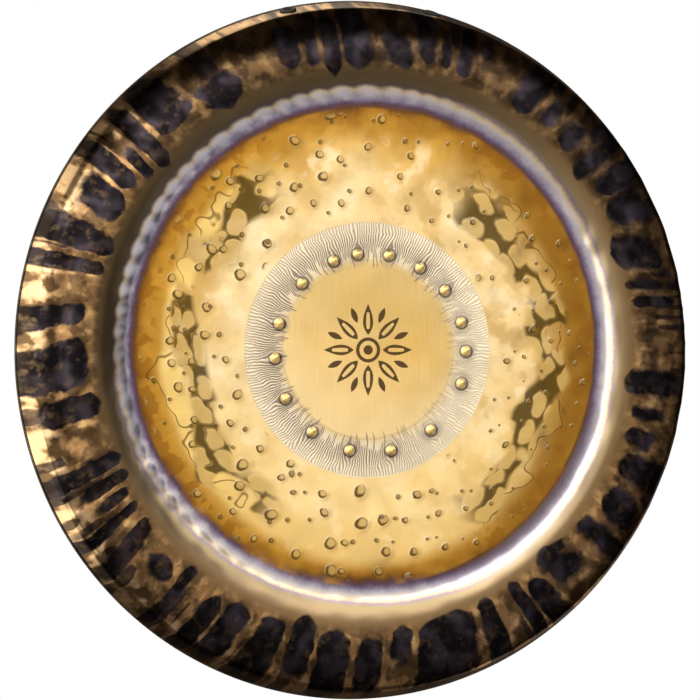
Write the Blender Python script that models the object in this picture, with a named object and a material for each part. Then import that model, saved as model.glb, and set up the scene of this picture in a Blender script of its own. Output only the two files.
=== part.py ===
"""Tam-tam gong: one hammered bronze disc with a turned-back rim, hung by a cord that passes
through two rubber grommets near the top of its rim.

The gong hangs upright. Its playing face looks along -Y, its axis is Y and +Z is up. The origin
is the point midway between the two cord holes. Lengths are metres.
"""

from math import asin, cos, hypot, pi, radians, sin, sqrt

import bmesh
import bpy
from mathutils import Matrix, Vector

MM = 0.001

# The disc. Slopes are measured against the plane of the face; a negative one rises outwards.
GONG_DIAMETER = 812 * MM
SHEET = 1.8 * MM
FACE_CROWN = 1.5 * MM  # how far the face's middle stands in front of its edge
COVE_WIDTH = 18 * MM  # concave part of the rise from the face to the shoulder
COVE_SLOPE = radians(-15)
SHOULDER_WIDTH = 31 * MM  # convex part, up to the shoulder's crest
BAND_WIDTH = 57.5 * MM  # dark band, from the shoulder's crest to the bend
BAND_SLOPE = radians(26)  # at the band's outer side
BEND_RADIUS = 16 * MM  # front surface of the bend into the turned rim
RIM_SLOPE = radians(72)
RIM_WIDTH = 30 * MM  # straight part of the turned rim, along its slope

# Bosses hammered out from behind, in a ring on the face that was set out by eye.
BOSS_CLOCK_ANGLES = (11, 31, 51, 72, 89, 108, 141, 168, 193, 218, 243, 267, 287, 314, 337, 352)
BOSS_RING_RADIUS = 115 * MM
BOSS_RING_SHIFT = 5 * MM  # how far the ring's middle sits from the face's
BOSS_RING_SHIFT_CLOCK_ANGLE = 135
BOSS_RADIUS = 7 * MM
BOSS_HEIGHT = 2 * MM
BOSS_ROOT = 0.8 * MM  # how deep a boss's front dome starts inside the sheet

# Cord holes and their grommets.
CORD_HOLE_DIAMETER = 14 * MM
CORD_HOLE_SPACING = 180 * MM  # wanted; each hole moves to the middle of the nearest flat
HOLE_FROM_EDGE = 14 * MM  # hole centre to the rear edge, along the rim's slope
GROMMET_BORE = 10 * MM
GROMMET_LIP = 3 * MM  # how far each lip reaches past the hole's wall
GROMMET_LIP_THICKNESS = 2 * MM
CLEARANCE = 0.3 * MM  # between a grommet and the metal it grips

# Fineness of the round shapes.
DISC_STEPS = 72
FACE_POINTS = 4
COVE_POINTS = 3
SHOULDER_POINTS = 4
BAND_POINTS = 4
BEND_POINTS = 4
BOSS_STEPS = 12
BOSS_RINGS = 2
GROMMET_STEPS = 24
LIP_POINTS = 3
HOLE_STEPS = 32

BRONZE = ("gong_bronze", (0.53, 0.38, 0.17), 0.28, 1.0)
RUBBER = ("grommet_rubber", (0.02, 0.02, 0.02), 0.75, 0.0)


def clear_scene():
    for obj in list(bpy.data.objects):
        bpy.data.objects.remove(obj)


def material(name, colour, roughness, metallic):
    made = bpy.data.materials.new(name)
    made.use_nodes = True
    shader = made.node_tree.nodes["Principled BSDF"]
    shader.inputs["Base Color"].default_value = (*colour, 1.0)
    shader.inputs["Roughness"].default_value = roughness
    shader.inputs["Metallic"].default_value = metallic
    return made


def add_object(name, mesh, finish=None):
    obj = bpy.data.objects.new(name, mesh)
    bpy.context.scene.collection.objects.link(obj)
    if finish:
        mesh.materials.append(finish)
    return obj


def hide_cutter(obj):
    obj.hide_render = True
    obj.display_type = "WIRE"


def turned_mesh(name, outline, steps, sharp_angle=radians(35)):
    """A solid turned about Z from a closed or axis-ended outline of (radius, height) points."""
    bm = bmesh.new()
    corners = [bm.verts.new((radius, 0, height)) for radius, height in outline]
    edges = [bm.edges.new(pair) for pair in zip(corners, corners[1:])]
    if min(outline[0][0], outline[-1][0]) > 0:
        edges.append(bm.edges.new((corners[-1], corners[0])))
    bmesh.ops.spin(
        bm, geom=corners + edges, cent=(0, 0, 0), axis=(0, 0, 1), angle=2 * pi, steps=steps
    )
    bmesh.ops.remove_doubles(bm, verts=bm.verts, dist=0.01 * MM)
    bmesh.ops.recalc_face_normals(bm, faces=bm.faces)
    mesh = bpy.data.meshes.new(name)
    bm.to_mesh(mesh)
    bm.free()
    mesh.shade_smooth()
    mesh.set_sharp_from_angle(angle=sharp_angle)
    return mesh


# The disc's front surface is a chain of arcs.
# A point is (radius, depth, slope). Depth grows towards the back, and slope is the angle
# between the surface and the plane of the face.


def arc(start, radius_end, slope_end, points):
    """Points after start, on the arc that reaches radius_end with slope_end."""
    radius, depth, slope = start
    arc_radius = (radius_end - radius) / (sin(slope_end) - sin(slope))
    made = []
    for i in range(1, points + 1):
        turned = slope + (slope_end - slope) * i / points
        made.append(
            (
                radius + arc_radius * (sin(turned) - sin(slope)),
                depth + arc_radius * (cos(slope) - cos(turned)),
                turned,
            )
        )
    return made


def bend_start_radius():
    """Where the band meets the bend, so that the rim ends at the gong's own diameter."""
    bend = BEND_RADIUS * (sin(RIM_SLOPE) - sin(BAND_SLOPE))
    return GONG_DIAMETER / 2 - RIM_WIDTH * cos(RIM_SLOPE) - bend


def face_radius():
    """Where the flat playing face ends: it fills what the cove, shoulder, band and rim leave."""
    return bend_start_radius() - BAND_WIDTH - SHOULDER_WIDTH - COVE_WIDTH


def face_slope():
    """Slope of the crowned face at its edge."""
    return 2 * FACE_CROWN / face_radius()


def front_surface():
    cove_end = face_radius() + COVE_WIDTH
    bend_end = GONG_DIAMETER / 2 - RIM_WIDTH * cos(RIM_SLOPE)
    points = [(0.0, 0.0, 0.0)]
    points += arc(points[-1], face_radius(), face_slope(), FACE_POINTS)
    points += arc(points[-1], cove_end, COVE_SLOPE, COVE_POINTS)
    points += arc(points[-1], cove_end + SHOULDER_WIDTH, 0.0, SHOULDER_POINTS)
    points += arc(points[-1], bend_start_radius(), BAND_SLOPE, BAND_POINTS)
    points += arc(points[-1], bend_end, RIM_SLOPE, BEND_POINTS)
    radius, depth, slope = points[-1]
    points.append((radius + RIM_WIDTH * cos(slope), depth + RIM_WIDTH * sin(slope), slope))
    return points


def disc_outline():
    """The sheet's section as (radius, -depth): front surface outwards, back surface inwards."""
    front = front_surface()
    outline = [(radius, -depth) for radius, depth, _ in front]
    rim_radius, rim_depth, rim_slope = front[-1]
    outline.append((rim_radius - SHEET / sin(rim_slope), -rim_depth))  # flat rear edge
    for radius, depth, slope in reversed(front[:-1]):
        outline.append((radius - SHEET * sin(slope), -(depth + SHEET * cos(slope))))
    return outline


def face_depth(radius):
    """Depth of the front surface at a radius on the face."""
    crown_radius = face_radius() / sin(face_slope())
    return crown_radius - sqrt(crown_radius**2 - radius**2)


def dome_outline(base_radius, height, root):
    """Half section of a spherical cap that stands on a short cylinder of depth root."""
    sphere = (base_radius**2 + height**2) / (2 * height)
    spread = asin(base_radius / sphere)
    outline = [(0.0, height)]
    for i in range(1, BOSS_RINGS + 1):
        angle = spread * i / BOSS_RINGS
        outline.append((sphere * sin(angle), height - sphere * (1 - cos(angle))))
    outline += [(base_radius, -root), (0.0, -root)]
    return outline


def boss_places():
    """Each boss's place on the face, as (across, up) from the face's middle."""
    shift = radians(BOSS_RING_SHIFT_CLOCK_ANGLE)
    for clock_angle in BOSS_CLOCK_ANGLES:
        angle = radians(clock_angle)
        across = BOSS_RING_RADIUS * sin(angle) + BOSS_RING_SHIFT * sin(shift)
        up = BOSS_RING_RADIUS * cos(angle) + BOSS_RING_SHIFT * cos(shift)
        yield across, up


def boss_tools(disc):
    """Front domes to join to the disc, and the hollows behind them."""
    dome = turned_mesh("boss_dome", dome_outline(BOSS_RADIUS, BOSS_HEIGHT, BOSS_ROOT), BOSS_STEPS)
    hollow_outline = dome_outline(BOSS_RADIUS - SHEET / 2, BOSS_HEIGHT, SHEET)
    hollow = turned_mesh("boss_hollow", hollow_outline, BOSS_STEPS)
    domes, hollows = [], []
    for number, (across, up) in enumerate(boss_places(), 1):
        depth = face_depth(hypot(across, up))
        place = disc.matrix_world @ Matrix.Translation((across, up, -depth))
        front = add_object(f"boss_dome_tool_{number}", dome)
        front.matrix_world = place
        back = add_object(f"boss_hollow_tool_{number}", hollow)
        back.matrix_world = place @ Matrix.Translation((0, 0, -SHEET))
        domes.append(front)
        hollows.append(back)
    return domes, hollows


def joined(objects, name):
    """One mesh object in world space holding the meshes of these, which are removed."""
    bm = bmesh.new()
    for obj in objects:
        copy = obj.data.copy()
        copy.transform(obj.matrix_world)
        bm.from_mesh(copy)
        bpy.data.meshes.remove(copy)
        bpy.data.objects.remove(obj)
    mesh = bpy.data.meshes.new(name)
    bm.to_mesh(mesh)
    bm.free()
    return add_object(name, mesh)


def boolean(obj, tool, operation):
    modifier = obj.modifiers.new(tool.name, "BOOLEAN")
    modifier.operation = operation
    modifier.object = tool
    hide_cutter(tool)


def hole_angle():
    """The middle of the disc's flat nearest the wanted spacing, so that a grommet sits flat."""
    flat = 2 * pi / DISC_STEPS
    wanted = asin(CORD_HOLE_SPACING / GONG_DIAMETER)
    return (int(wanted / flat) + 0.5) * flat


def hole_middle():
    """(radius, depth) of a hole's centre, halfway through the sheet, on the disc's facet."""
    radius, depth, slope = front_surface()[-1]
    radius -= HOLE_FROM_EDGE * cos(slope)
    depth -= HOLE_FROM_EDGE * sin(slope)
    radius *= cos(pi / DISC_STEPS)
    return radius - SHEET / 2 * sin(slope), depth + SHEET / 2 * cos(slope)


def facet_slope():
    """Slope of the rim along the middle of a facet, a little under that of its corners."""
    return pi / 2 - (pi / 2 - RIM_SLOPE) * cos(pi / DISC_STEPS)


def hole_frame(side, centre):
    """Where a grommet sits: its Z axis points out of the rim. side is -1 left or 1 right."""
    angle = side * hole_angle()
    radius, depth = hole_middle()
    outward = Vector((sin(angle), 0, cos(angle)))
    normal = outward * sin(facet_slope()) + Vector((0, -cos(facet_slope()), 0))
    turn = normal.to_track_quat("Z", "Y").to_matrix().to_4x4()
    return Matrix.Translation(centre + outward * radius + Vector((0, depth, 0))) @ turn


def gong_centre():
    """The front of the disc's middle, placed so that the origin is midway between the holes."""
    radius, depth = hole_middle()
    return Vector((0, -depth, -radius * cos(hole_angle())))


def grommet_outline():
    """Ring section: the groove that grips the sheet, two rounded lips, and the bore."""
    bore = GROMMET_BORE / 2
    neck = CORD_HOLE_DIAMETER / 2 - CLEARANCE
    lip = CORD_HOLE_DIAMETER / 2 + GROMMET_LIP
    groove = SHEET / 2 + CLEARANCE
    end = groove + GROMMET_LIP_THICKNESS
    rounding = GROMMET_LIP_THICKNESS / 2
    upper = [(neck, groove), (lip, groove)]
    for i in range(LIP_POINTS + 1):
        turned = pi / 2 * i / LIP_POINTS
        radius = lip - rounding + rounding * cos(turned)
        upper.append((radius, end - rounding + rounding * sin(turned)))
    upper += [(bore + rounding / 2, end), (bore, end - rounding / 2)]
    lower = [(radius, -height) for radius, height in reversed(upper)]
    return upper + lower


def make_disc(finish, centre):
    disc = add_object("gong_disc", turned_mesh("gong_disc", disc_outline(), DISC_STEPS), finish)
    # The outline turns about Z with its front up: stand it up so that the front looks along -Y.
    disc.matrix_world = Matrix.Translation(centre) @ Matrix.Rotation(pi / 2, 4, "X")
    domes, hollows = boss_tools(disc)
    boolean(disc, joined(domes, "boss_domes"), "UNION")
    boolean(disc, joined(hollows, "boss_hollows"), "DIFFERENCE")
    return disc


def make_hole_and_grommet(disc, name, side, centre, finish):
    frame = hole_frame(side, centre)
    reach = 3 * SHEET  # the drill runs well past both sides of the sheet
    drill_outline = [(0.0, reach), (CORD_HOLE_DIAMETER / 2, reach)]
    drill_outline += [(CORD_HOLE_DIAMETER / 2, -reach), (0.0, -reach)]
    drill = add_object(f"{name}_drill", turned_mesh(f"{name}_drill", drill_outline, HOLE_STEPS))
    drill.matrix_world = frame
    boolean(disc, drill, "DIFFERENCE")
    grommet = add_object(name, turned_mesh(name, grommet_outline(), GROMMET_STEPS), finish)
    grommet.matrix_world = frame


def main():
    clear_scene()
    bronze = material(*BRONZE)
    rubber = material(*RUBBER)
    centre = gong_centre()
    disc = make_disc(bronze, centre)
    make_hole_and_grommet(disc, "left_cord_grommet", -1, centre, rubber)
    make_hole_and_grommet(disc, "right_cord_grommet", 1, centre, rubber)


main()
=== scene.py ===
from math import cos, pi, radians, sin, tan

import bpy
import numpy as np
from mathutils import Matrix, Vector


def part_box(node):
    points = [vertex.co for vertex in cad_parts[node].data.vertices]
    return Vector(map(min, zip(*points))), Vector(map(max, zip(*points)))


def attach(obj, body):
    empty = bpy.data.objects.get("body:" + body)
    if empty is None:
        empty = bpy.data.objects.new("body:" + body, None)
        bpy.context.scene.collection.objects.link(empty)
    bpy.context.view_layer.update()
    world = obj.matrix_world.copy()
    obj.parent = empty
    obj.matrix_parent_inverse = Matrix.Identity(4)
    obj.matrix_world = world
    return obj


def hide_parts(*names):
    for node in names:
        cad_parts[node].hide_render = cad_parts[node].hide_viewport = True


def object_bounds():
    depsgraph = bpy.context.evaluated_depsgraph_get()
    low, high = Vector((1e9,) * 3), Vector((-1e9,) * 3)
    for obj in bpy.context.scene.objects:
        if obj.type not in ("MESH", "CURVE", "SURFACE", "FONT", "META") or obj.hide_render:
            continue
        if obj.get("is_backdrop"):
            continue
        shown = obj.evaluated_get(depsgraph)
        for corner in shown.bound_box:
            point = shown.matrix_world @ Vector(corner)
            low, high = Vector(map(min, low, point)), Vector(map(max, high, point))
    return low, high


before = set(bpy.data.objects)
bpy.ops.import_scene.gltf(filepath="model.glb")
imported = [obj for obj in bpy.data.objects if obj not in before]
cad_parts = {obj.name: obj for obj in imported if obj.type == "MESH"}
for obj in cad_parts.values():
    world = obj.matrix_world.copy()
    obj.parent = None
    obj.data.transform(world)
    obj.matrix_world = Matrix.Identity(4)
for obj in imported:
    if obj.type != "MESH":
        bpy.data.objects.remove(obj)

scene = bpy.context.scene
scene.view_settings.view_transform = "Standard"

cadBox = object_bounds()
gongLow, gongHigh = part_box("gong_disc")
gongCentre = (0.0, 0.5 * (gongLow[2] + gongHigh[2]))  # x and z of the axis
gongRadius = 0.5 * (gongHigh[0] - gongLow[0])
crestY = gongLow[1]
rearY = gongHigh[1]
mm = 0.001
print("frame: gong %.0f mm across, %.0f mm deep" % (2000 * gongRadius, 1000 * (rearY - crestY)))


def tone(red, green, blue):
    # screen colour, 0 to 255, to the linear colour that nodes take
    parts = np.array([red, green, blue]) / 255.0
    linear = np.where(parts <= 0.04045, parts / 12.92, ((parts + 0.055) / 1.055) ** 2.4)
    return (*[float(v) for v in linear], 1.0)


def easeStep(low, high, values):
    # 0 below low, 1 above high, and a smooth S between them
    t = np.clip((values - low) / (high - low), 0.0, 1.0)
    return t * t * (3.0 - 2.0 * t)


class Amount:
    # a number that changes over a surface; sums and products of these add Math nodes
    def __init__(self, finish, socket):
        self.finish = finish
        self.socket = socket

    def calc(self, operation, *others):
        return self.finish.calc(operation, self, *others)

    def __add__(self, other):
        return self.calc("ADD", other)

    def __radd__(self, other):
        return self.finish.calc("ADD", other, self)

    def __sub__(self, other):
        return self.calc("SUBTRACT", other)

    def __rsub__(self, other):
        return self.finish.calc("SUBTRACT", other, self)

    def __mul__(self, other):
        return self.calc("MULTIPLY", other)

    def __rmul__(self, other):
        return self.finish.calc("MULTIPLY", other, self)

    def __truediv__(self, other):
        return self.calc("DIVIDE", other)

    def __neg__(self):
        return self.calc("MULTIPLY", -1.0)


class Finish:
    # the node tree of one finish, or of the studio
    def __init__(self, owner):
        owner.use_nodes = True
        self.tree = owner.node_tree
        self.tree.nodes.clear()

    def put(self, socket, value):
        if isinstance(value, Amount):
            self.tree.links.new(value.socket, socket)
        elif value is not None:
            socket.default_value = value

    def add(self, kind, settings=None, values=None, out=0):
        # one node: its settings first, then its sockets by name or number
        node = self.tree.nodes.new(kind)
        for name, value in (settings or {}).items():
            if name == "stops":
                ramp = node.color_ramp
                while len(ramp.elements) > 1:
                    ramp.elements.remove(ramp.elements[0])
                ramp.elements[0].position = value[0][0]
                ramp.elements[0].color = value[0][1]
                for place, colour in value[1:]:
                    ramp.elements.new(place).color = colour
            else:
                setattr(node, name, value)
        for name, value in (values or {}).items():
            self.put(node.inputs[name], value)
        if out is None:
            return node
        return Amount(self, node.outputs[out])

    def calc(self, operation, *terms):
        return self.add("ShaderNodeMath", {"operation": operation}, dict(enumerate(terms)))

    def rise(self, value, low, high):
        # 0 below low, 1 above high, smooth between
        return self.add("ShaderNodeMapRange", {"interpolation_type": "SMOOTHSTEP"},
                        {"Value": value, "From Min": low, "From Max": high})

    def between(self, value, low, high, soft):
        return self.rise(value, low - soft, low + soft) * (1 - self.rise(value, high - soft, high + soft))

    def place(self, x, y, z=0.0):
        return self.add("ShaderNodeCombineXYZ", None, {"X": x, "Y": y, "Z": z})

    def noise(self, where, scale, detail=2.0, dimensions="2D", roughness=0.5):
        # 0 to 1, about 0.5 in the middle
        return self.add("ShaderNodeTexNoise", {"noise_dimensions": dimensions},
                        {"Vector": where, "Scale": scale, "Detail": detail, "Roughness": roughness})

    def chance(self, number):
        # one random value for each whole number
        return self.add("ShaderNodeTexWhiteNoise", {"noise_dimensions": "1D"}, {"W": number})

    def blend(self, share, first, second, how="MIX"):
        # two colours mixed
        return self.add("ShaderNodeMix", {"data_type": "RGBA", "blend_type": how},
                        {0: share, 6: first, 7: second}, 2)


sheetShape = {
    "thickness": 1.8 * mm,
    "faceLift": 3.5 * mm,  # the face and its ring sit this far above the rim's axis
    # outer radius and slope of each stretch, and its rings on the front and on the back
    "stretches": [
        (96.0 * mm, radians(0.208), 32, 16),
        (136.0 * mm, radians(0.294), 17, 8),
        (279.0 * mm, radians(0.61), 52, 26),
        (297.5 * mm, radians(-15.0), 7, 4),
        (331.03 * mm, 0.0, 9, 4),
        (388.53 * mm, radians(26.0), 12, 6),
        (396.73 * mm, radians(72.0), 5, 3),
        (406.0 * mm, radians(72.0), 4, 2),
    ],
}


def sectionRings(side):
    # chain of arcs: radius += bend * (sin t - sin s), depth += bend * (cos s - cos t); side 0 front, 1 back
    radius, depth, slope = [np.zeros(1)], [np.zeros(1)], [np.zeros(1)]
    for endRadius, endSlope, frontCount, backCount in sheetShape["stretches"]:
        count = backCount if side else frontCount
        share = np.arange(1, count + 1) / count
        startRadius, startDepth, startSlope = radius[-1][-1], depth[-1][-1], slope[-1][-1]
        turned = startSlope + (endSlope - startSlope) * share
        if abs(endSlope - startSlope) < 1e-6:
            radius.append(startRadius + (endRadius - startRadius) * share)
            depth.append(startDepth + (endRadius - startRadius) * share * tan(endSlope))
        else:
            bend = (endRadius - startRadius) / (sin(endSlope) - sin(startSlope))
            radius.append(startRadius + bend * (np.sin(turned) - sin(startSlope)))
            depth.append(startDepth + bend * (cos(startSlope) - np.cos(turned)))
        slope.append(turned)
    radius, depth, slope = np.concatenate(radius), np.concatenate(depth), np.concatenate(slope)
    depth += rearY - depth[-1]
    if side:
        wall = sheetShape["stretches"][-1][3]
        rimEnd = (gongRadius - sheetShape["thickness"] / sin(slope[-1]), rearY)
        radius = radius - sheetShape["thickness"] * np.sin(slope)
        depth = depth + sheetShape["thickness"] * np.cos(slope)
        radius[-wall - 1:] = np.linspace(radius[-wall - 1], rimEnd[0], wall + 1)
        depth[-wall - 1:] = np.linspace(depth[-wall - 1], rimEnd[1], wall + 1)
    return radius, depth, slope


def ringGrid(rings):
    # a square grid read as rings: a point k steps out is on ring k, which has 8k points
    line = np.arange(-rings, rings + 1)
    i, j = np.meshgrid(line, line, indexing="ij")
    ring = np.maximum(abs(i), abs(j))
    right = (i == ring) & (j < ring)
    top = (j == ring) & (i > -ring)
    left = (i == -ring) & (j > -ring)
    step = np.select([right, top, left], [j + ring, 3 * ring - i, 5 * ring - j], 7 * ring + i)
    angle = np.where(ring == 0, 0.0, 2 * pi * step / (8 * np.maximum(ring, 1)))
    number = np.arange(i.size).reshape(i.shape)
    quads = np.stack([number[:-1, :-1], number[1:, :-1], number[1:, 1:], number[:-1, 1:]], axis=-1)
    order = np.argsort(step[ring == rings])
    edge = number[ring == rings][order]
    return ring.ravel(), angle.ravel(), quads.reshape(-1, 4), edge


reliefLook = {
    "waveLengths": (28 * mm, 75 * mm), "waves": 26, "waveSlope": 0.006,
    "bossClock": (11, 31, 51, 72, 89, 108, 141, 168, 193, 218, 243, 267, 287, 314, 337, 352),
    "bossRing": 115 * mm, "bossRadius": 7.5 * mm, "bossHeight": 2.0 * mm,
    "bossShift": (5 * mm, 135),  # how far the ring of bosses is off centre, and towards which bearing
    # hammer marks: radii of their rings and pitch, half lengths and half widths, all in mm
    "markRings": (166, 189, 213, 238, 263), "markPitch": 27, "markLong": (10, 15), "markWide": (7.5, 11),
    "markDepth": 0.13 * mm,
    "beads": 71, "beadHeight": 0.17 * mm,
    "fingers": 62, "fluteHeight": 0.7 * mm,
}


def bossPlaces():
    clock = np.radians(np.array(reliefLook["bossClock"]))
    shift, towards = reliefLook["bossShift"]
    ring = reliefLook["bossRing"]
    return np.stack([ring * np.sin(clock) + shift * sin(radians(towards)),
                     ring * np.cos(clock) + shift * cos(radians(towards))], axis=1)


def broadWaves(x, z):
    # sum of plane waves of random direction and length: the sheet's slow unevenness
    look = reliefLook
    dice = np.random.default_rng(41)
    height = np.zeros_like(x)
    for _ in range(look["waves"]):
        heading = dice.uniform(0, 2 * pi)
        pitch = 2 * pi / dice.uniform(*look["waveLengths"])
        phase = dice.uniform(0, 2 * pi)
        along = x * cos(heading) + z * sin(heading)
        height += look["waveSlope"] / pitch * np.cos(pitch * along + phase)
    return height


def hammerMarks(x, z):
    # oval facets with a flat middle and a steep border, in loose rings
    look = reliefLook
    dice = np.random.default_rng(7)
    height = np.zeros_like(x)
    for ring in look["markRings"]:
        count = int(2 * pi * ring / look["markPitch"])
        for k in range(count):
            angle = 2 * pi * (k + dice.uniform(-0.3, 0.3)) / count
            away = (ring + dice.uniform(-6, 6)) * mm
            long, wide = dice.uniform(*look["markLong"]) * mm, dice.uniform(*look["markWide"]) * mm
            lean = angle + dice.uniform(-0.5, 0.5)
            sideways = abs(sin(angle)) ** 2
            deep = look["markDepth"] * dice.uniform(0.3, 1.0) * (0.25 + 0.75 * sideways)
            dx, dz = x - away * sin(angle), z - away * cos(angle)
            along = dx * sin(lean) + dz * cos(lean)
            across = dx * cos(lean) - dz * sin(lean)
            reach = np.sqrt((along / long) ** 2 + (across / wide) ** 2)
            height -= deep * (1 - easeStep(0.55, 1.05, reach))
    return height


def bandWarp(radius, angle):
    # how far the fingers and flutes of the band stray sideways, in finger widths: sines of the angle
    dice = np.random.default_rng(23)
    warp = np.zeros_like(radius)
    for n in (2, 3, 5, 7, 11, 16):
        warp += dice.uniform(0.4, 0.9) / n ** 0.4 * np.sin(n * angle + dice.uniform(0, 2 * pi))
    lean = np.sin(3 * angle + 1.1) + np.sin(8 * angle + 0.3)
    return warp + 0.10 * lean * (radius - 0.35) / 0.03


def ringWander(angle):
    # slow uneven swing round the disc: sines of the angle
    dice = np.random.default_rng(19)
    return sum(dice.uniform(0.3, 1) * np.sin(n * angle + dice.uniform(0, 2 * pi)) for n in range(5, 14))


def beadWave(angle, radius):
    # rounded swellings side by side in the heat-tinted ring, leaning a little
    return np.cos(reliefLook["beads"] * angle + 0.6 * ringWander(angle) + 70 * (radius - 0.29))


def relief(x, z, radius, angle, fine):
    # height of the worked surface over the plain section, along its normal
    look = reliefLook
    onWaves = (0.25 + 0.75 * easeStep(0.135, 0.16, radius)) * (1 - easeStep(0.30, 0.318, radius))
    height = broadWaves(x, z) * onWaves
    height += hammerMarks(x, z) * easeStep(0.148, 0.160, radius) * (1 - easeStep(0.271, 0.279, radius))
    for bx, bz in bossPlaces():
        reach = np.hypot(x - bx, z - bz) / look["bossRadius"]
        height += look["bossHeight"] * np.clip(1 - reach ** 2, 0, 1) ** 1.5
    upperLeft = easeStep(-0.2, 0.6, (0.5 * z - x) / (radius + 0.001))
    onBeads = (0.25 + 0.75 * upperLeft) * np.exp(-((radius - 0.2900) / 0.0095) ** 2)
    height += look["beadHeight"] * onBeads * beadWave(angle, radius)
    place = look["fingers"] * angle / (2 * pi) + bandWarp(radius, angle)
    fluteWave = np.abs(np.sin(pi * place)) ** 0.7  # each finger lies in its own shallow trough
    slowWave = np.cos(27 * angle + 1.1 * ringWander(angle))
    onBand = easeStep(0.318, 0.345, radius) * (1 - 0.75 * easeStep(0.392, 0.402, radius))
    height += look["fluteHeight"] * (0.6 - fluteWave + 0.5 * slowWave) * onBand
    return height if fine else 0.7 * height


def lineGuides(x, z):
    # distance to the nearest boss in mm, and how far engraved lines bend round the bosses, in line pitches
    reach, bend = np.full(len(x), 100.0), np.zeros(len(x))
    for bx, bz in bossPlaces():
        away = 1000 * np.hypot(x - bx, z - bz)
        reach = np.minimum(reach, away)
        ring = np.hypot(bx, bz)
        sideways = 1000 * (x * bz - z * bx) / ring  # positive clockwise of the boss
        bend += -2.6 * np.tanh(sideways / 5) * np.exp(-(away / 12) ** 2)
    return reach, bend


def sheetSide(side):
    # one surface: each point of the ring grid set on the section and pushed out along its normal
    radius, depth, slope = sectionRings(side)
    ring, angle, quads, edge = ringGrid(len(radius) - 1)
    r, y, s = radius[ring], depth[ring], slope[ring]
    x = r * np.sin(angle)
    lifted = easeStep(0.165, 0.250, r) * (1 - easeStep(0.325, 0.385, r))
    z = r * np.cos(angle) + sheetShape["faceLift"] * lifted
    height = relief(x, z, r, angle, side == 0)
    height *= 1 - easeStep(0.400, 0.4055, r)
    out = height * np.sin(s)
    points = np.stack([x + out * np.sin(angle) + gongCentre[0],
                       y - height * np.cos(s),
                       z + out * np.cos(angle) + gongCentre[1]], axis=1)
    return points, quads, edge


def newMesh(name, points, faces, smooth=True):
    mesh = bpy.data.meshes.new(name)
    mesh.from_pydata(points.tolist(), [], faces)
    mesh.polygons.foreach_set("use_smooth", np.full(len(mesh.polygons), smooth))
    mesh.update()
    piece = bpy.data.objects.new(name, mesh)
    scene.collection.objects.link(piece)
    return piece


def addValues(piece, name, values):
    layer = piece.data.attributes.new(name, "FLOAT", "POINT")
    layer.data.foreach_set("value", np.asarray(values, dtype=np.float32))


def applyModifiers(piece):
    # swaps the piece's mesh for the one its modifiers make
    shaped = bpy.data.meshes.new_from_object(piece.evaluated_get(bpy.context.evaluated_depsgraph_get()))
    piece.modifiers.clear()
    old = piece.data
    piece.data = shaped
    bpy.data.meshes.remove(old)
    shaped.name = piece.name


def makeSheet():
    front, frontQuads, frontEdge = sheetSide(0)
    back, backQuads, backEdge = sheetSide(1)
    points = np.concatenate([front, back])
    backQuads = backQuads[:, ::-1] + len(front)
    backEdge = backEdge + len(front)
    # the rear edge: two front points to one back point
    a, b = frontEdge[0::2], frontEdge[1::2]
    c, d = np.roll(frontEdge, -2)[0::2], np.roll(backEdge, -1)
    faces = np.concatenate([frontQuads, backQuads]).tolist()
    faces += np.stack([a, backEdge, b], axis=1).tolist()
    faces += np.stack([b, backEdge, d, c], axis=1).tolist()
    piece = newMesh("gong_sheet", points, faces)
    addValues(piece, "behind", np.concatenate([np.zeros(len(front)), np.ones(len(back))]))
    across, up = points[:, 0] - gongCentre[0], points[:, 2] - gongCentre[1]
    radius, angle = np.hypot(across, up), np.arctan2(across, up)
    reach, bend = lineGuides(across, up)
    addValues(piece, "boss_reach", reach)
    addValues(piece, "line_bend", bend)
    addValues(piece, "bead", 0.5 + 0.5 * beadWave(angle, radius))
    addValues(piece, "band_warp", bandWarp(radius, angle))
    return piece


gong = makeSheet()
print("sheet: %d faces" % len(gong.data.polygons))

grommetLook = {
    "hole": 14.0 * mm, "bore": 10.0 * mm, "lip": 3.0 * mm, "lipThickness": 2.0 * mm,
    "gap": 0.3 * mm, "steps": 56, "cutterReach": 6 * mm, "cutterSteps": 48,
}


def grommetFrame(node):
    # middle of a grommet and its axis, which leans back with the rim wall
    low, high = (np.array(corner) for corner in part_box(node))
    middle = 0.5 * (low + high)
    outward = np.array([middle[0] - gongCentre[0], 0.0, middle[2] - gongCentre[1]])
    outward /= np.linalg.norm(outward)
    lean = sheetShape["stretches"][-1][1]
    axis = sin(lean) * outward + np.array([0.0, -cos(lean), 0.0])
    side = np.cross(axis, np.array([0.0, 1.0, 0.0]))
    side /= np.linalg.norm(side)
    return middle, axis, side, np.cross(axis, side)


def turnedPiece(name, outline, middle, axis, side, other, steps):
    # outline of radius and height, carried once round the axis
    turn = 2 * pi * np.arange(steps) / steps
    r, h = outline[:, 0][None, :], outline[:, 1][None, :]
    spokes = np.cos(turn)[:, None, None] * side + np.sin(turn)[:, None, None] * other
    points = middle + spokes * r[..., None] + axis * h[..., None]
    count = len(outline)
    number = np.arange(steps * count).reshape(steps, count)
    nextTurn, nextPoint = np.roll(number, -1, axis=0), np.roll(number, -1, axis=1)
    faces = np.stack([number, nextTurn, np.roll(nextTurn, -1, axis=1), nextPoint], axis=-1).reshape(-1, 4)
    return newMesh(name, points.reshape(-1, 3), faces.tolist())


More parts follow.
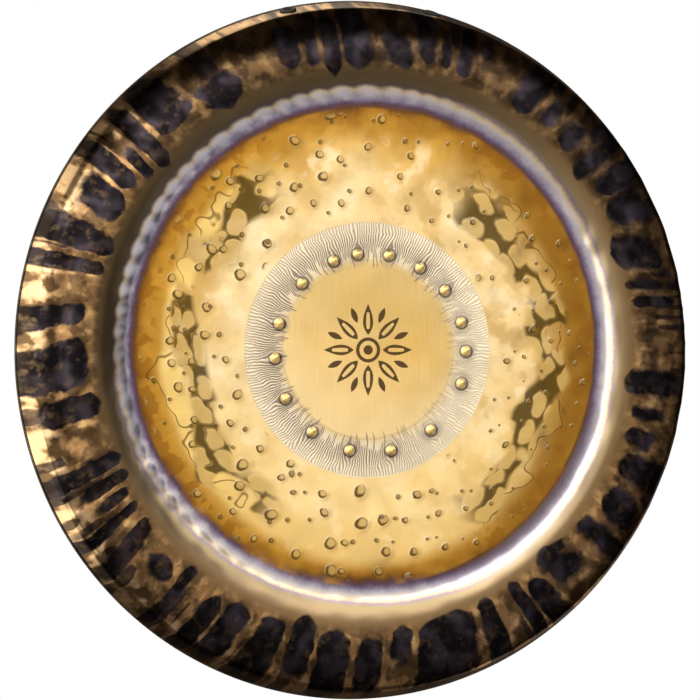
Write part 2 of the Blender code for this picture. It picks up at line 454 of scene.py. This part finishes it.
def makeGrommet(node, name):
    look = grommetLook
    middle, axis, side, other = grommetFrame(node)
    bore, neck = look["bore"] / 2, look["hole"] / 2 - look["gap"]
    lip, thick = look["hole"] / 2 + look["lip"], look["lipThickness"]
    groove = sheetShape["thickness"] / 2 + look["gap"]
    end = groove + thick
    bend = np.linspace(0, pi / 2, 7)
    rounding = 0.9 * thick
    upper = [(neck, groove), (lip - 0.2 * rounding, groove)]
    upper += [(lip - rounding + rounding * cos(t), end - rounding + rounding * sin(t)) for t in bend]
    upper += [(bore + 0.8 * mm, end), (bore + 0.25 * mm, end - 0.25 * mm), (bore, end - 0.9 * mm)]
    outline = np.array(upper + [(r, -h) for r, h in reversed(upper)])
    piece = turnedPiece(name, outline, middle, axis, side, other, look["steps"])
    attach(piece, "root")
    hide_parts(node)
    return piece


def holeCutter(node):
    # a plain cylinder of the hole's size, through the rim wall
    middle, axis, side, other = grommetFrame(node)
    steps, reach = grommetLook["cutterSteps"], grommetLook["cutterReach"]
    turn = 2 * pi * np.arange(steps) / steps
    rim = (np.cos(turn)[:, None] * side + np.sin(turn)[:, None] * other) * (grommetLook["hole"] / 2)
    points = np.concatenate([middle + rim - axis * reach, middle + rim + axis * reach])
    number = np.arange(steps)
    following = np.roll(number, -1)
    faces = np.stack([number, following, following + steps, number + steps], axis=1).tolist()
    faces += [number[::-1].tolist(), (number + steps).tolist()]
    return newMesh("hole_cutter", points, faces, smooth=False)


grommetNodes = {"left_cord_grommet": "grommet_left", "right_cord_grommet": "grommet_right"}
grommets = [makeGrommet(node, name) for node, name in grommetNodes.items()]
for node in grommetNodes:
    cutter = holeCutter(node)
    cut = gong.modifiers.new("hole", "BOOLEAN")
    cut.operation, cut.solver, cut.object = "DIFFERENCE", "EXACT", cutter
    applyModifiers(gong)
    mesh = cutter.data
    bpy.data.objects.remove(cutter)
    bpy.data.meshes.remove(mesh)
print("holes cut: %d faces" % len(gong.data.polygons))

bronzeLook = {
    # radius in mm and colour, from the middle out to the rear edge
    "rings": [
        (0, (214, 174, 84)), (60, (216, 178, 94)), (98, (214, 184, 116)), (101, (216, 194, 146)),
        (146, (214, 196, 156)), (149, (236, 213, 160)), (190, (232, 204, 144)), (215, (222, 188, 116)),
        (236, (212, 173, 90)), (254, (190, 146, 62)), (267, (150, 105, 38)), (274, (96, 66, 38)),
        (279, (84, 68, 88)), (283, (118, 110, 138)), (287, (160, 158, 178)), (292, (196, 192, 196)),
        (295.5, (208, 195, 168)), (298.5, (172, 156, 134)), (301, (130, 117, 130)), (305, (138, 126, 94)),
        (310, (138, 120, 94)), (318, (120, 100, 72)), (328, (114, 90, 62)), (340, (132, 102, 68)),
        (365, (128, 100, 68)), (385, (142, 112, 78)), (397, (184, 152, 112)), (409, (150, 122, 90)),
    ],
    "streaks": 150,  # radial streaks round the disc
    "metalTint": (0.7, 0.66, 0.6, 1.0),
}


class DiscFinish(Finish):
    # the bronze's nodes: where a point lies on the disc, in mm, and the colour laid down so far
    def __init__(self, owner):
        super().__init__(owner)
        split = self.add("ShaderNodeSeparateXYZ", None, {0: self.add("ShaderNodeTexCoord", out="Object")}, None)
        self.x = (Amount(self, split.outputs[0]) - gongCentre[0]) * 1000
        self.y = Amount(self, split.outputs[1]) * 1000
        rimZ = (Amount(self, split.outputs[2]) - gongCentre[1]) * 1000
        rimR = (self.x * self.x + rimZ * rimZ).calc("SQRT")
        lifted = self.rise(rimR, 165, 250) * (1 - self.rise(rimR, 325, 385))
        self.z = rimZ - 1000 * sheetShape["faceLift"] * lifted
        self.flat = self.place(self.x, self.z)
        self.r = (self.x * self.x + self.z * self.z).calc("SQRT")
        self.turns = self.calc("ARCTAN2", self.x, self.z) / (2 * pi)  # 0 at the top, clockwise from the front
        self.right, self.up = self.x / (self.r + 1), self.z / (self.r + 1)
        self.streaks = self.noise(self.place(self.turns * bronzeLook["streaks"], self.r * 0.05), 1.0, 4.0)
        self.colour = None

    def stored(self, name):
        return self.add("ShaderNodeAttribute", {"attribute_name": name}, out="Fac")

    def beyond(self, low, high):
        return self.rise(self.r, low, high)

    def inside(self, low, high):
        return 1 - self.rise(self.r, low, high)

    def across(self, low, high, soft):
        # 1 between two radii
        return self.between(self.r, low, high, soft)

    def towards(self, right, up, low, high):
        # grows on the side of the disc that lies right and up by these amounts
        return self.rise(right * self.right + up * self.up, low, high)

    def lay(self, share, strength, colour):
        self.colour = self.blend(share * strength, self.colour, colour)


ringLook = {
    "beadHighlight": tone(208, 207, 216), "beadShade": tone(92, 84, 100), "scallop": 3.4,  # mm
    "innerShade": tone(112, 108, 118), "outerHighlight": tone(222, 200, 168),
    "sway": (5.5, 5.5, 2.5),  # mm that the ring is moved at the lower left, lower right and top
}


def paintRings(f):
    # colours by radius, with uneven borders; gives how far the beads push out the ring's border
    broad = f.noise(f.flat, 0.02, 3.0) - 0.5
    wobble = f.noise(f.flat, 0.05, 3.0) - 0.5
    fine = f.noise(f.flat, 0.2, 2.0) - 0.5
    bead = f.stored("bead")
    lowerLeft = f.towards(-0.45, -1.0, 0.75, 1.07)
    lowerRight = f.towards(0.75, -0.66, 0.82, 0.99)
    upward = f.towards(-0.5, 1.0, -0.2, 0.6)
    leftward = f.towards(-1.0, 0.5, -0.1, 0.7)
    scallop = (bead.calc("SQRT") - 0.64) * leftward * ringLook["scallop"]
    toLeft, toRight, toTop = ringLook["sway"]
    uneven = f.r + (broad * 30 + wobble * 14) * f.inside(250, 284) * f.beyond(190, 240)
    uneven = uneven + wobble * 4.5 + fine * 1.6 - scallop * f.beyond(284, 294) * f.inside(304, 314)
    onRing = f.beyond(240, 262) * f.inside(300, 316)
    uneven = uneven + onRing * (lowerLeft * toLeft - lowerRight * toRight - upward * toTop)
    uneven = f.calc("MINIMUM", uneven, 409.0)
    stops = [(place / 410, tone(*colour)) for place, colour in bronzeLook["rings"]]
    steady = f.add("ShaderNodeValToRGB", {"stops": stops}, {"Fac": f.r / 410})
    swaying = f.add("ShaderNodeValToRGB", {"stops": stops}, {"Fac": uneven / 410})
    f.colour = f.blend(f.beyond(149, 190), steady, swaying)
    # painted highlights on the bead crests and painted shade between them, mostly towards the left
    onBeads = f.between(uneven, 284, 296, 4.0) * (0.15 + 0.85 * leftward)
    f.lay(onBeads * f.rise(bead, 0.3, 1.0), 0.6, ringLook["beadHighlight"])
    f.lay(onBeads * f.rise(bead, 0.3, 0.0), 0.3, ringLook["beadShade"])
    # towards the lower right: painted shade on the inner ring and a painted highlight beyond it
    f.lay(lowerRight * f.across(280, 294, 3.0), 0.5, ringLook["innerShade"])
    f.lay(lowerRight * f.across(301, 314, 3.0), 0.25, ringLook["outerHighlight"])
    return scallop


fieldLook = {
    "cream": tone(250, 236, 192), "deepGold": tone(170, 126, 48),
    "beige": tone(198, 166, 104), "paleHighlight": tone(254, 242, 208),
    "rightGoldShade": tone(146, 108, 40), "southCreamLight": tone(252, 226, 158),
}


def paintField(f):
    # soft clouds of cream, beige and deeper gold, with painted highlight patches, painted shade towards the
    # right and painted light towards the bottom
    look = fieldLook
    field = f.across(148, 276, 2.0)
    cloud = f.noise(f.flat, 0.011, 1.5)
    f.lay(f.rise(cloud, 0.35, 0.68) * field * f.inside(200, 255), 0.55, look["cream"])
    ember = f.noise(f.place(f.x + 310, f.z + 90), 0.02, 2.5)
    f.lay(f.rise(ember, 0.42, 0.7) * field * f.beyond(185, 268), 0.85, look["deepGold"])
    patch = f.noise(f.place(f.x - 90, f.z + 40), 0.026, 3.0)
    beige = f.rise(patch, 0.48, 0.66) * (0.35 + 0.35 * f.rise(f.x, -60, 140))
    f.lay(beige * field * f.inside(235, 262), 1.0, look["beige"])
    # painted highlight patches
    f.lay(f.rise(patch, 0.46, 0.32) * field * f.inside(225, 255), 0.5, look["paleHighlight"])
    # painted shade: deeper gold towards the right
    f.lay(f.towards(1.0, 0.0, 0.1, 1.0) * field * f.beyond(195, 250), 0.75, look["rightGoldShade"])
    # painted light: paler cream towards the bottom
    f.lay(f.towards(0.0, -1.0, 0.1, 1.0) * field * f.inside(240, 262), 0.5, look["southCreamLight"])


webLook = {
    "ovalReflection": tone(196, 168, 104), "webReflection": tone(88, 70, 30), "ovalsRound": 38, "ovalStep": 21,  # mm
    "amber": tone(188, 142, 52), "lobe": tone(134, 88, 28), "tideShadeRight": tone(134, 94, 32),
    "leftYellowLight": tone(248, 222, 140), "contour": tone(96, 68, 24),
}


def paintWebs(f, stray):
    # large ovals with olive webs between them towards the two sides, painted as dark reflections, and amber
    # tide marks by the ring
    look = webLook
    sideways = f.right.calc("ABSOLUTE")
    swing = (f.noise(f.flat, 0.012, 1.0) - 0.5) * 80
    chain = f.between(f.r + swing, 198, 236, 5.0) * f.rise(sideways, 0.45, 0.62)
    chain = chain * f.rise(f.noise(f.place(f.x + 70, f.z - 40), 0.016, 1.0), 0.28, 0.34)
    where = f.place(f.turns * look["ovalsRound"] + stray / 30, (f.r + stray) / look["ovalStep"])
    ovals = f.add("ShaderNodeTexVoronoi", {"voronoi_dimensions": "2D", "feature": "F1"},
                  {"Vector": where, "Scale": 1.0, "Randomness": 0.6}, None)
    reach = Amount(f, ovals.outputs["Distance"]) * 27
    # painted reflection: beige ovals inside dark olive webs
    f.lay((1 - f.rise(reach, 10.8, 11.6)) * chain, 0.8, look["ovalReflection"])
    f.lay(f.between(reach, 11.3, 12.7, 0.4) * chain, 0.8, look["webReflection"])
    f.lay(f.rise(reach, 12.4, 13.1) * chain, 0.95, look["webReflection"])
    tide = f.noise(f.place(f.x - 20, f.z + 130), 0.017, 1.8) + 0.5 * f.beyond(205, 272)
    flooded = f.rise(tide, 0.735, 0.765) * (1 - chain)
    amber = flooded * f.towards(-1.0, 0.0, 0.15, 0.45) * f.beyond(236, 254) * f.inside(264, 276)
    f.lay(amber, 0.55, look["amber"])
    lobes = f.rise(f.noise(f.place(f.turns * 70, f.r * 0.035), 1.0, 2.5), 0.5, 0.58)
    f.lay(lobes * f.beyond(246, 262) * f.inside(274, 280) * f.rise(sideways, 0.3, 0.6), 0.6, look["lobe"])
    # the tide marks painted darker towards the right: painted shade
    tideShadeRight = flooded * f.towards(1.0, 0.0, 0.4, 0.8) * f.beyond(234, 248) * f.inside(266, 276)
    f.lay(tideShadeRight, 0.55, look["tideShadeRight"])
    # painted light: lighter yellow towards the left
    leftYellowLight = f.towards(-1.0, 0.0, 0.4, 0.85) * f.across(222, 247, 6.0) * (1 - chain) * (1 - amber)
    f.lay(leftYellowLight, 0.6, look["leftYellowLight"])
    contour = (1 - f.rise((tide - 0.735).calc("ABSOLUTE"), 0.006, 0.018)) * f.rise(sideways, 0.45, 0.7)
    f.lay(contour * (1 - chain) * f.beyond(200, 225) * f.inside(262, 276), 0.75, look["contour"])
    return 0.08 * (1 - f.rise(reach, 9.0, 12.5)) * chain


dimpleLook = {
    # cell size, smallest and largest radius in mm, share of cells with a dimple, shift of the pattern
    "large": (35.0, 3.9, 7.4, 0.8, 0.0), "small": (27.0, 2.2, 3.4, 0.45, 57.0),
    "shadeSmudge": tone(150, 118, 54), "plate": tone(196, 168, 104), "rightPlateShade": tone(146, 116, 58),
    "pitShade": tone(112, 90, 44), "borderShade": tone(88, 70, 30), "glint": tone(255, 248, 226),
    "largeHeight": 0.02, "smallDepth": 0.05,  # mm
}


def dimples(f, x, z, cell, small, large, share, shift):
    # round dimples, one in some of the cells of a random pattern: plate is 1 on the flat middle, painted as a
    # reflection;
    # then painted shade as a crescent on the border and as a smudge on the shaded side, and a painted highlight
    # as a glint on the lit side
    cells = f.add("ShaderNodeTexVoronoi", {"voronoi_dimensions": "2D", "feature": "F1"},
                  {"Vector": f.place(x + shift, z - shift), "Scale": 1 / cell, "Randomness": 0.85}, None)
    centre = f.add("ShaderNodeSeparateXYZ", None, {0: Amount(f, cells.outputs["Position"])}, None)
    dx, dz = x + shift - Amount(f, centre.outputs[0]), z - shift - Amount(f, centre.outputs[1])
    lots = f.add("ShaderNodeSeparateColor", None, {0: Amount(f, cells.outputs["Color"])}, None)
    sizeLot, hereLot, depthLot = (Amount(f, lots.outputs[k]) for k in range(3))
    radius = (small + (large - small) * sizeLot * sizeLot) * (1 - 0.45 * f.rise(x, 0, 130))
    here = f.rise(hereLot, 1 - share - 0.02, 1 - share + 0.02)
    away = Amount(f, cells.outputs["Distance"]) * cell + (f.noise(f.place(x, z), 0.09, 1.0) - 0.5) * 3.2
    reach = away / radius
    plate = here * (1 - f.rise(reach, 0.8, 1.0))
    shaded = (dx * 0.75 - dz * 0.65) / radius
    lowerLeft = -(dx * 0.8 + dz * 0.55) / radius
    rimStart = 0.72 - 0.38 * f.rise(lowerLeft, -0.6, 0.5)
    rimEnd = 1.14 + 0.2 * f.rise(lowerLeft, 0.0, 1.0)
    rim = here * f.rise(reach, rimStart, 0.88) * (1 - f.rise(reach, 1.0, rimEnd))
    shadeCrescent = rim * (0.55 + 0.45 * f.rise(lowerLeft, -0.7, 0.3))
    shadeSmudge = here * (1 - f.rise(reach, 1.0, 2.6)) * f.rise(shaded, 0.2, 1.3)
    glint = here * (1 - f.rise(reach, 1.0, 1.7)) * f.rise(-shaded, 0.4, 1.0)
    return plate, shadeCrescent, shadeSmudge, glint, depthLot


def paintDimples(f, stray):
    look = dimpleLook
    field = f.across(156, 270, 4.0)
    plateA, shadeCrescentA, shadeSmudgeA, glintA, lotA = dimples(f, f.x + stray * 0.4, f.z + stray * 0.2, *look["large"])
    plateB, shadeCrescentB, shadeSmudgeB, glintB, lotB = dimples(f, f.x, f.z - stray * 0.2, *look["small"])
    # painted shade beside the dimples
    f.lay(shadeSmudgeA.calc("MAXIMUM", shadeSmudgeB) * field, 0.42, look["shadeSmudge"])
    # painted reflection on the flat middles, darker towards the right as painted shade
    f.lay(plateA * field, 0.7, f.blend(f.rise(f.x, -60, 150), look["plate"], look["rightPlateShade"]))
    # painted shade in the small pits
    f.lay(plateB * field, 0.75, look["pitShade"])
    # painted shade: dark crescents on the dimple borders
    shadeCrescent = shadeCrescentA.calc("MAXIMUM", shadeCrescentB * 0.9) * field
    f.lay(shadeCrescent, 0.97, look["borderShade"])
    # painted highlight: glints on the lit side of the dimples
    glint = glintA.calc("MAXIMUM", glintB) * field * (1 - shadeCrescent)
    f.lay(glint, 0.25 + 0.4 * f.rise(f.x, 0, 120), look["glint"])
    raised = plateA * look["largeHeight"] * (0.3 + 0.7 * lotA)
    return (raised - plateB * look["smallDepth"] * (0.3 + 0.7 * lotB)) * field


middleLook = {
    "upperShade": tone(206, 184, 128), "lowerLeft": tone(248, 228, 178),
    "symbol": tone(74, 54, 26), "petals": 8,
}


def rosette(f):
    # eight pointed petals round a ring and a dot, drawn as one flat dark figure
    petals = middleLook["petals"]

    def petal(turn, start, length, plump):
        # distances along and across one petal, and its half width there
        lean = (turn.calc("FRACT") - 0.5) * (2 * pi / petals)
        along, off = f.r * lean.calc("COSINE"), (f.r * lean.calc("SINE")).calc("ABSOLUTE")
        reach = ((along - start) / length).calc("MAXIMUM", 0.0)
        return along, off, reach, plump * (reach * (1 - reach)).calc("MAXIMUM", 0.0)

    turn = f.calc("ARCTAN2", f.x, f.z) * (petals / (2 * pi)) + 0.5
    along, off, reach, half = petal(turn, 17, 37, 15.5)
    half = half * (2.2 - 1.2 * reach)
    vein = f.rise(half * 0.42 - off, 0.0, 0.6) * f.rise(along, 24, 24.6) * (1 - f.rise(along, 43, 43.6))
    large = f.rise(half - off, 0.0, 0.6) * (1 - vein)
    _, off, _, half = petal(turn + 0.5, 33, 20, 15.0)
    small = f.rise(half - off, 0.0, 0.6)
    ring, dot = f.across(10.5, 14.5, 0.35), f.inside(5.2, 5.9)
    return large.calc("MAXIMUM", small).calc("MAXIMUM", ring).calc("MAXIMUM", dot)


def paintMiddle(f):
    # brushed satin, painted shade at the top, painted light towards the lower left, and the symbol
    look = middleLook
    middle = f.inside(99, 103)
    brushed = f.noise(f.place(f.x * 1.5, f.z * 0.02), 1.0, 3.0)
    f.lay(middle * f.rise(brushed, 0.45, 0.8), 0.35, fieldLook["cream"])
    f.lay(middle * f.towards(0.0, 1.0, 0.0, 0.8), 0.5, look["upperShade"])
    ragged = (f.noise(f.flat, 0.03, 2.0) - 0.5) * 70
    # painted light: paler cream towards the lower left
    f.lay(f.rise(ragged - f.z - f.x * 0.4, -70, 100) * middle, 0.6, look["lowerLeft"])
    symbol = rosette(f)
    f.lay(symbol, 0.96, look["symbol"])
    return symbol, 0.035 * middle * brushed - 0.05 * symbol


engravingLook = {
    "count": 268, "ground": tone(238, 228, 202), "line": tone(136, 126, 116),
    "foot": tone(66, 50, 32), "halo": tone(140, 132, 124), "dome": tone(226, 196, 128),
}


def paintEngraving(f):
    # engraved lines that run outwards and bend round the bosses
    look = engravingLook
    place = f.turns * look["count"] + f.stored("line_bend") + (f.noise(f.flat, 0.05, 1.0) - 0.5) * 2.6 + 500
    cell = place.calc("FLOOR")
    off = (place - cell - 0.5).calc("ABSOLUTE") * 2
    start = 92 + f.chance(cell + 0.5) * 24  # each line starts at its own radius
    lines = (1 - f.rise(off - 0.14 * f.rise(f.r, 146, 118), 0.30, 0.56)) * f.inside(146.2, 147.4)
    lines = lines * f.rise(f.r, start, start + 6)
    f.lay(f.across(104, 147, 1.0), 0.35 + 0.65 * f.beyond(100, 118), look["ground"])
    faded = (0.92 - 0.4 * f.beyond(124, 146)) * (1 - 0.75 * f.towards(1.0, -0.3, 0.3, 1.0))
    f.lay(lines, faded, look["line"])
    bossReach = f.stored("boss_reach")
    foot = f.between(bossReach, 5.8, 8.6, 1.1)
    f.lay(foot, 0.8, look["foot"])
    f.lay(f.between(bossReach, 7.5, 13.5, 3.5) * (1 - foot), 0.35, look["halo"])
    f.lay(1 - f.rise(bossReach, 5.0, 6.4), 1.0, look["dome"])
    return -0.10 * lines


bandLook = {
    "upperLeftShade": tone(62, 52, 36), "streak": tone(214, 176, 122), "sootAndShade": tone(38, 30, 24),
    "leftCreamLight": tone(238, 212, 176), "patina": tone(22, 20, 24), "sheen": tone(96, 90, 104),
    "edge": tone(22, 18, 16),
    # seed, how many to one of the large fingers, start and end radii in mm, least and greatest half width
    "largeFingers": (200.0, 1.0, (314, 338), (368, 430), (0.5, 0.98)),
    "smallFingers": (600.0, 1.55, (350, 392), (385, 440), (-0.2, 0.85)),
}


def fingerLayer(f, place, soft, seed, pitch, inner, outer, width):
    # dark fingers side by side round the band, each with its own length, width and rounded ends
    ragged = f.noise(f.flat, 0.06, 3.0) - 0.5
    place = place * pitch + seed
    cell = place.calc("FLOOR")
    off = (place - cell - 0.5).calc("ABSOLUTE") * 2 + ragged * 0.5
    widthLot, startLot, endLot, hereLot = (f.chance(cell + k) for k in (0.37, 41.7, 90.1, 7.7))
    bulge = off * off
    along = f.r + ragged * 12
    half = width[0] + (width[1] - width[0]) * widthLot
    sides = f.rise(hereLot, 0.15, 0.16) * (1 - f.rise(off, half - soft, half + soft))
    start = inner[0] + (inner[1] - inner[0]) * startLot + bulge * 14
    end = outer[0] + (outer[1] - outer[0]) * endLot - bulge * 16
    return sides * f.rise(along, start - 2.0, start + 2.5) * (1 - f.rise(along, end - 9, end + 5))


def paintBand(f, scallop, front):
    # shoulder with painted shade towards the upper left, then bronze with streaks under black fingers
    look = bandLook
    upperLeft = f.up * 0.78 - f.right * 0.62
    # painted shade on the shoulder towards the upper left
    shadeR = f.r - scallop + 5 * f.rise(upperLeft, 0.4, 0.62)
    f.lay(f.rise(upperLeft, -0.35, 0.75) * f.between(shadeR, 306, 332, 3.0), 0.75, look["upperLeftShade"])
    band = f.beyond(318, 336)
    blotch = f.noise(f.flat, 0.045, 3.0)
    f.lay(band * f.rise(f.streaks, 0.42, 0.75), 0.6, look["streak"])
    f.lay(band * f.rise(blotch, 0.42, 0.62), 0.75, look["sootAndShade"])
    # painted light: creamier outer band towards the left
    leftCreamLight = f.towards(-1.0, -0.25, 0.3, 0.9) * f.beyond(370, 388) * f.rise(blotch, 0.6, 0.4)
    f.lay(leftCreamLight, 0.55, look["leftCreamLight"])
    # painted shade: the band darker towards the top and the right, in the soot colour
    topShade = f.rise(upperLeft + f.right * 0.9, 0.1, 0.7) * band * f.inside(394, 400)
    rightShade = f.towards(1.0, 0.0, 0.2, 0.9) * f.beyond(376, 392)
    f.lay((topShade * 0.75).calc("MAXIMUM", rightShade * 0.8), 1.0, look["sootAndShade"])
    place = f.turns * reliefLook["fingers"] + f.stored("band_warp")
    soft = 0.08 + 0.16 * f.towards(1.0, 0.6, -0.3, 0.8)  # softer towards the upper right
    large = fingerLayer(f, place, soft, *look["largeFingers"])
    small = fingerLayer(f, place, soft, *look["smallFingers"])
    thin = f.noise(f.place(f.x, f.z, 5.0), 0.12, 3.0, "3D")
    patina = large.calc("MAXIMUM", small * 0.85) * (0.86 + 0.14 * f.rise(thin, 0.3, 0.55))
    f.lay(patina, 1.0, look["patina"])
    # painted sheen on the patina
    f.lay(patina * f.rise(f.noise(f.flat, 0.04, 1.0), 0.42, 0.75), 0.2, look["sheen"])
    lastEdge = f.rise(f.y, 1000 * rearY - 4.0, 1000 * rearY - 2.0) * front
    f.lay(lastEdge, 1.0, look["edge"])
    flutes = f.noise(f.place(f.turns * 75, f.r * 0.02), 1.0, 2.0)
    return band, patina, lastEdge, band * (0.25 * flutes + 0.04 * f.streaks - 0.05 * patina)


backLook = {
    "light": tone(150, 112, 66), "dark": tone(84, 60, 40), "ring": tone(96, 84, 92),
    "fleck": tone(202, 162, 100), "streak": tone(176, 138, 88),
}


def paintBack(f, behind, patina):
    # plain darker bronze, with the same patina towards the rim
    look = backLook
    frontColour = f.colour
    cloud = f.noise(f.flat, 0.014, 6.0, roughness=0.62)
    f.colour = f.blend(f.rise(cloud, 0.3, 0.72), look["dark"], look["light"])
    ringR = f.r + (f.noise(f.flat, 0.015, 2.0) - 0.5) * 12
    f.lay(f.between(ringR, 262, 292, 8.0), 0.6, look["ring"])
    f.lay(f.rise(f.noise(f.flat, 0.09, 2.0), 0.55, 0.7) * f.inside(250, 280), 0.4, look["fleck"])
    f.lay(f.rise(f.streaks, 0.5, 0.8) * f.beyond(290, 330), 0.4, look["streak"])
    f.lay(patina, 0.8, bandLook["patina"])
    f.colour = f.blend(behind, frontColour, f.colour)
    return cloud


def makeBronze():
    bronze = bpy.data.materials.new("gong_bronze")
    f = DiscFinish(bronze)
    behind = f.stored("behind")
    front = 1 - behind
    stray = (f.noise(f.flat, 0.04, 1.0) - 0.5) * 16
    scallop = paintRings(f)
    paintField(f)
    height = paintWebs(f, stray)  # raised detail, in mm
    height = height + paintDimples(f, stray)
    symbol, middleHeight = paintMiddle(f)
    height = height + middleHeight + paintEngraving(f)
    band, patina, lastEdge, bandHeight = paintBand(f, scallop, front)
    cloud = paintBack(f, behind, patina)
    rough = 0.1 + 0.2 * f.inside(99, 104) + 0.14 * f.across(100, 147, 1.0) + 0.05 * f.across(306, 334, 4.0)
    rough = rough + 0.08 * band + 0.05 * patina + 0.12 * symbol + 0.12 * (f.streaks - 0.5) * band
    rough = (rough + 0.3 * lastEdge) * front + behind * (0.34 + 0.12 * cloud)
    metal = (1 - 0.45 * symbol) * (1 - lastEdge)
    height = (height + bandHeight) * front + behind * 0.5 * f.noise(f.flat, 0.06, 2.0)
    bump = f.add("ShaderNodeBump", None, {"Strength": 1.0, "Distance": 1.0, "Height": height * 0.001})
    shader = f.add("ShaderNodeBsdfPrincipled", None,
                   {"Base Color": f.colour, "Metallic": metal, "Roughness": rough, "Normal": bump,
                    "Specular Tint": bronzeLook["metalTint"]})
    f.add("ShaderNodeOutputMaterial", None, {"Surface": shader}, None)
    return bronze


gong.data.materials.clear()
gong.data.materials.append(makeBronze())
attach(gong, "root")
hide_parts("gong_disc")

rubberLook = {"rubber": tone(27, 26, 26), "dust": tone(74, 70, 66), "grain": 900.0, "dustScale": 160.0}


def makeRubber():
    look = rubberLook
    rubber = bpy.data.materials.new("grommet_rubber")
    f = Finish(rubber)
    where = f.add("ShaderNodeTexCoord", out="Object")
    grain = f.noise(where, look["grain"], 3.0, "3D")
    bump = f.add("ShaderNodeBump", None, {"Strength": 0.5, "Distance": 0.0003, "Height": grain})
    dust = f.noise(where, look["dustScale"], 4.0, "3D")
    colour = f.blend(f.rise(dust, 0.5, 0.75) * 0.35, look["rubber"], look["dust"])
    shader = f.add("ShaderNodeBsdfPrincipled", None,
                   {"Base Color": colour, "Roughness": 0.5 + 0.2 * dust, "Normal": bump})
    f.add("ShaderNodeOutputMaterial", None, {"Surface": shader}, None)
    return rubber


rubber = makeRubber()
for piece in grommets:
    piece.data.materials.append(rubber)
print("finishes: bronze and rubber")

studio = {
    "cameraTurn": -16.4, "cameraDistance": 5.0, "lens": 222.2, "aimShift": -15.2 * mm,
    "floorDrop": 0.6, "floorSize": 8.0, "floorTone": tone(236, 234, 230),
    "backdrop": 1.0, "dimLight": tone(84, 74, 66),
    # soft panels: bearing from, to, softness; height from, to, softness; colour; strength
    "panels": [
        (-14, 25, 4, -8, 29, 4, (255, 244, 228), 1.0),
        (-16, -3, 5, -9, 29, 3, (255, 250, 246), 1.6),
        (-60, 25, 6, 5, 29, 8, (255, 246, 234), 0.4),
        (-60, 46, 8, 13, 29, 4, (255, 248, 240), 1.8),
        (24, 46, 5, 2, 24, 4, (248, 244, 250), 0.45),
        (25, 50, 6, -30, -4, 6, (250, 246, 248), 0.6),
        (38, 80, 8, -12, 24, 8, (246, 236, 226), 0.3),
        (-150, -66, 6, -34, 30, 10, (255, 240, 218), 2.6),
        (-66, -32, 6, -12, 30, 5, (255, 240, 218), 2.4),
        (-30, -8, 6, -20, 30, 8, (255, 236, 210), 0.35),
        (-60, 24, 5, -27, -8, 4, (255, 244, 232), 0.65),
        (-60, 60, 20, -60, -30, 8, (255, 240, 226), 0.25),
        (150, 180, 4, 32, 52, 5, (255, 246, 240), 2.6),
        (-180, -171, 4, 34, 56, 5, (255, 246, 240), 2.6),
        (104, 146, 8, -50, -14, 6, (255, 242, 226), 1.05),
    ],
}


def makeCamera():
    turn = radians(studio["cameraTurn"])
    across, away = np.array([cos(turn), sin(turn), 0.0]), np.array([sin(turn), -cos(turn), 0.0])
    middle = np.array([gongCentre[0], 0.5 * (crestY + rearY), gongCentre[1]])
    camera = bpy.data.objects.new("camera", bpy.data.cameras.new("camera"))
    camera.location = middle + studio["aimShift"] * across + studio["cameraDistance"] * away
    camera.rotation_euler = (pi / 2, 0.0, turn)
    camera.data.lens = studio["lens"]
    camera.data.sensor_width = 36.0
    camera.data.clip_end = 60.0
    scene.collection.objects.link(camera)
    scene.camera = camera


def makeFloor():
    half = studio["floorSize"] / 2
    height = gongLow[2] - studio["floorDrop"]
    corners = np.array([(-half, -half, height), (half, -half, height),
                        (half, half, height), (-half, half, height)])
    floor = newMesh("floor", corners, [[0, 1, 2, 3]], smooth=False)
    paint = bpy.data.materials.new("floor_paint")
    f = Finish(paint)
    shader = f.add("ShaderNodeBsdfPrincipled", None, {"Base Color": studio["floorTone"], "Roughness": 0.8})
    f.add("ShaderNodeOutputMaterial", None, {"Surface": shader}, None)
    floor.data.materials.append(paint)
    floor.visible_glossy = False
    floor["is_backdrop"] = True


def makeStudioLight():
    # soft light from all round; each panel has a span of bearing and height in degrees, as the gong sees it
    world = bpy.data.worlds.new("studio")
    scene.world = world
    f = Finish(world)
    heading = f.add("ShaderNodeTexCoord", out="Generated")
    split = f.add("ShaderNodeSeparateXYZ", None, {0: heading}, None)
    east, north, up = (Amount(f, split.outputs[k]) for k in range(3))
    bearing = f.calc("ARCTAN2", east, -north) * (180 / pi)
    height = up.calc("ARCSINE") * (180 / pi)
    light = studio["dimLight"]
    for fromBearing, toBearing, side, fromHeight, toHeight, rise, colour, strength in studio["panels"]:
        shape = f.between(bearing, fromBearing, toBearing, side) * f.between(height, fromHeight, toHeight, rise)
        lamp = tuple(strength * part for part in tone(*colour)[:3]) + (1.0,)
        light = f.blend(shape, light, f.blend(1.0, light, lamp, "ADD"))
    seen = f.add("ShaderNodeLightPath", out="Is Camera Ray")
    shown = f.blend(seen, light, (studio["backdrop"],) * 3 + (1.0,))
    back = f.add("ShaderNodeBackground", None, {"Color": shown, "Strength": 1.0})
    f.add("ShaderNodeOutputWorld", None, {"Surface": back}, None)


makeCamera()
makeFloor()
makeStudioLight()
print("studio: camera, floor and light")

for name, low, high in (("cad", *cadBox), ("visual", *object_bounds())):
    print(name, [round(v, 4) for v in low], [round(v, 4) for v in high])
